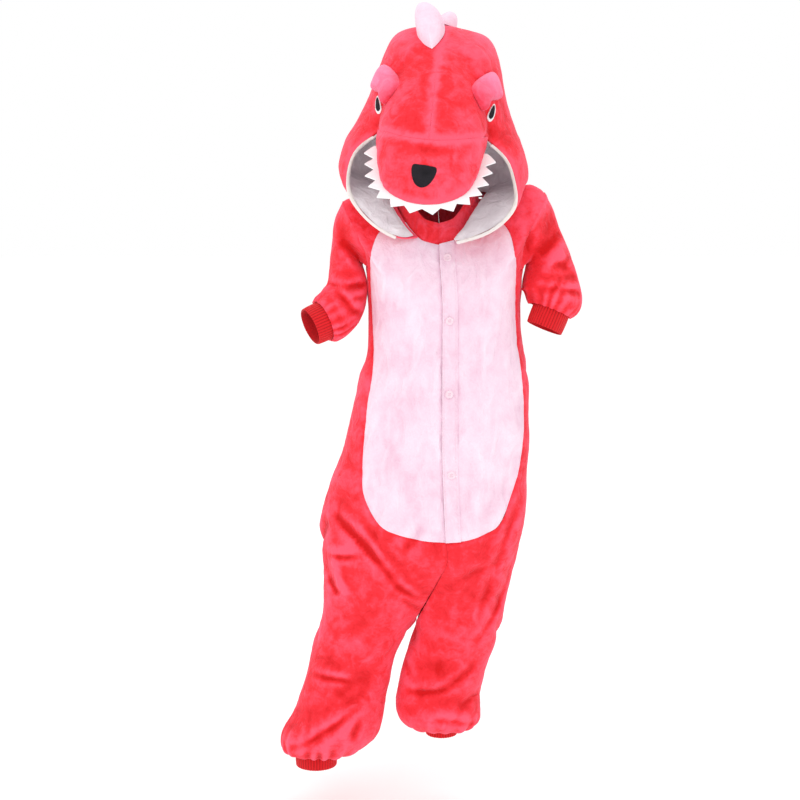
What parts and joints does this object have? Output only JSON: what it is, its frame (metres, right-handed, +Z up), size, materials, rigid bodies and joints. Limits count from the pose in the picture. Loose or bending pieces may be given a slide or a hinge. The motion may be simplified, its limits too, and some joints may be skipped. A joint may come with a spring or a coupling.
{
  "type": "hooded onesie",
  "caption": "Child's hooded plush dinosaur onesie in its worn shape, with an open face, belly panel, button placket, ribbed cuffs, felt teeth and crown spikes.",
  "frame": {"origin": "base of the wearer's neck, between the shoulders, where the garment is carried", "axes": "+Z up, the front faces -Y, +X to the right of somebody who faces the garment"},
  "size_m": [0.4873, 0.3579, 1.2397],
  "materials": {
    "red_plush": "short coral-red plush pile",
    "rib_knit": "dark red ribbed knit",
    "pale_plush": "pale pink plush pile",
    "lining_fabric": "thin grey-pink lining",
    "white_felt": "white felt",
    "black_felt": "black felt",
    "brow_plush": "pinker plush pile",
    "button_plastic": "pale pink plastic"
  },
  "bodies": {
    "root": {"front_right": "red_plush", "front_left": "red_plush", "back_right": "red_plush", "back_left": "red_plush", "sleeve_right": "red_plush", "sleeve_left": "red_plush", "neck_band": "red_plush", "hood_right": "red_plush", "hood_left": "red_plush", "snout_front": "red_plush", "sleeve_cuff_right": "rib_knit", "sleeve_cuff_left": "rib_knit", "ankle_cuff_right": "rib_knit", "ankle_cuff_left": "rib_knit", "belly_right": "pale_plush", "belly_left": "pale_plush", "placket": "pale_plush", "spike_front": "pale_plush", "spike_rear": "pale_plush", "hood_lining": "lining_fabric", "snout_underside": "lining_fabric", "rim_binding_right": "lining_fabric", "rim_binding_left": "lining_fabric", "teeth": "white_felt", "eye_white_right": "white_felt", "eye_white_left": "white_felt", "pupil_right": "black_felt", "pupil_left": "black_felt", "nose_patch": "black_felt", "brow_right": "brow_plush", "brow_left": "brow_plush", "button_1": "button_plastic", "button_2": "button_plastic", "button_3": "button_plastic", "button_4": "button_plastic"}
  },
  "joints": []
}
